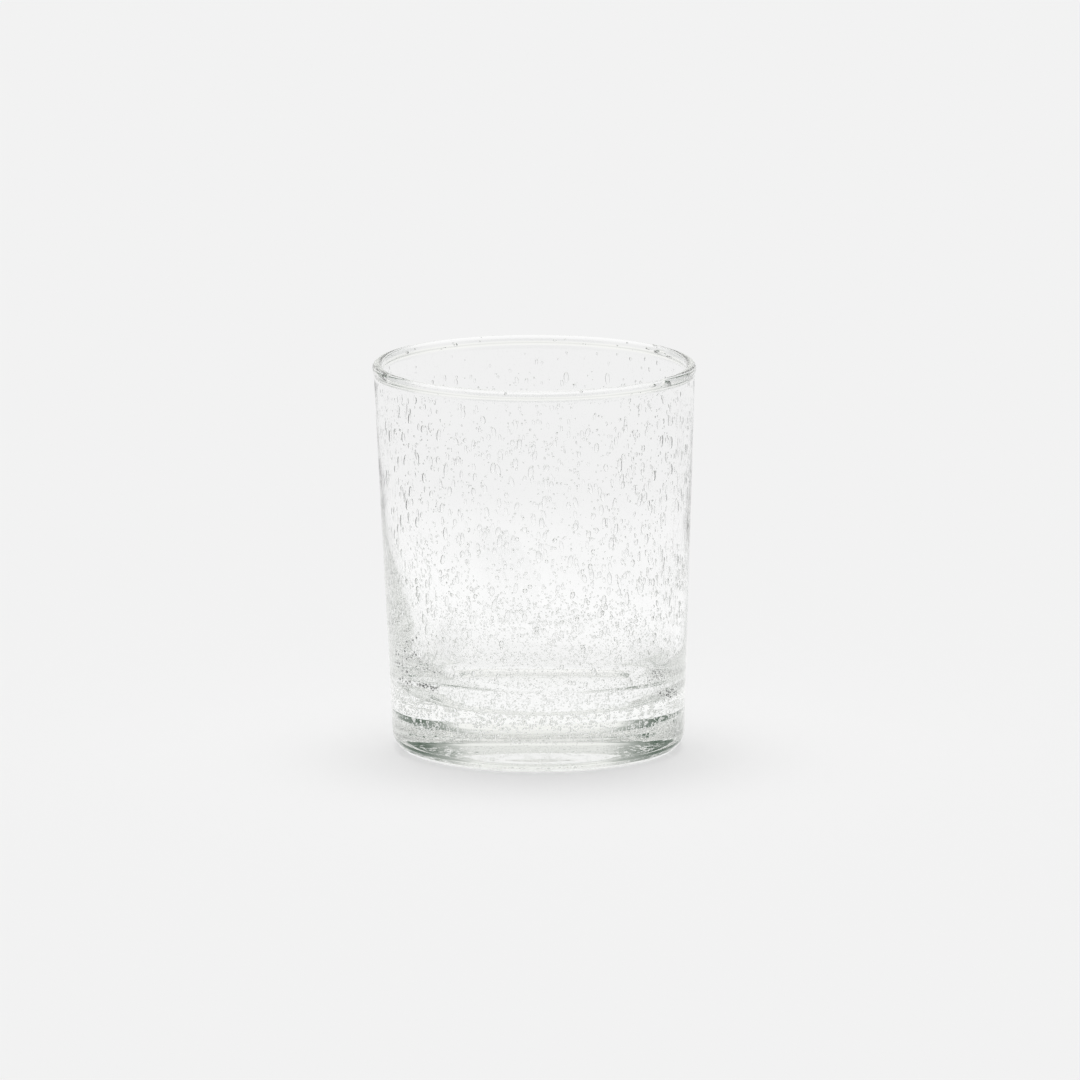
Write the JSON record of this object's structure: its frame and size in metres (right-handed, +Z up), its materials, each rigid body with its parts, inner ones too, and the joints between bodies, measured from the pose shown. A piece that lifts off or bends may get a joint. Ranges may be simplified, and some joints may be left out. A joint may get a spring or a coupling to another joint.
{
  "type": "glass tumbler",
  "caption": "Straight-sided drinking glass with a rolled rim, a wall that thickens downwards, a heavy base and trapped air bubbles.",
  "frame": {"origin": "on the glass's axis, in the plane that its foot stands on", "axes": "+Z up along the axis of the glass, from foot to rim; the glass is round, so X and Y have no special direction"},
  "size_m": [0.08, 0.08, 0.0965],
  "materials": {
    "glass": "fire-polished clear glass with a faint green tint and trapped air bubbles"
  },
  "bodies": {
    "root": {"glass_body": "glass"}
  },
  "joints": []
}
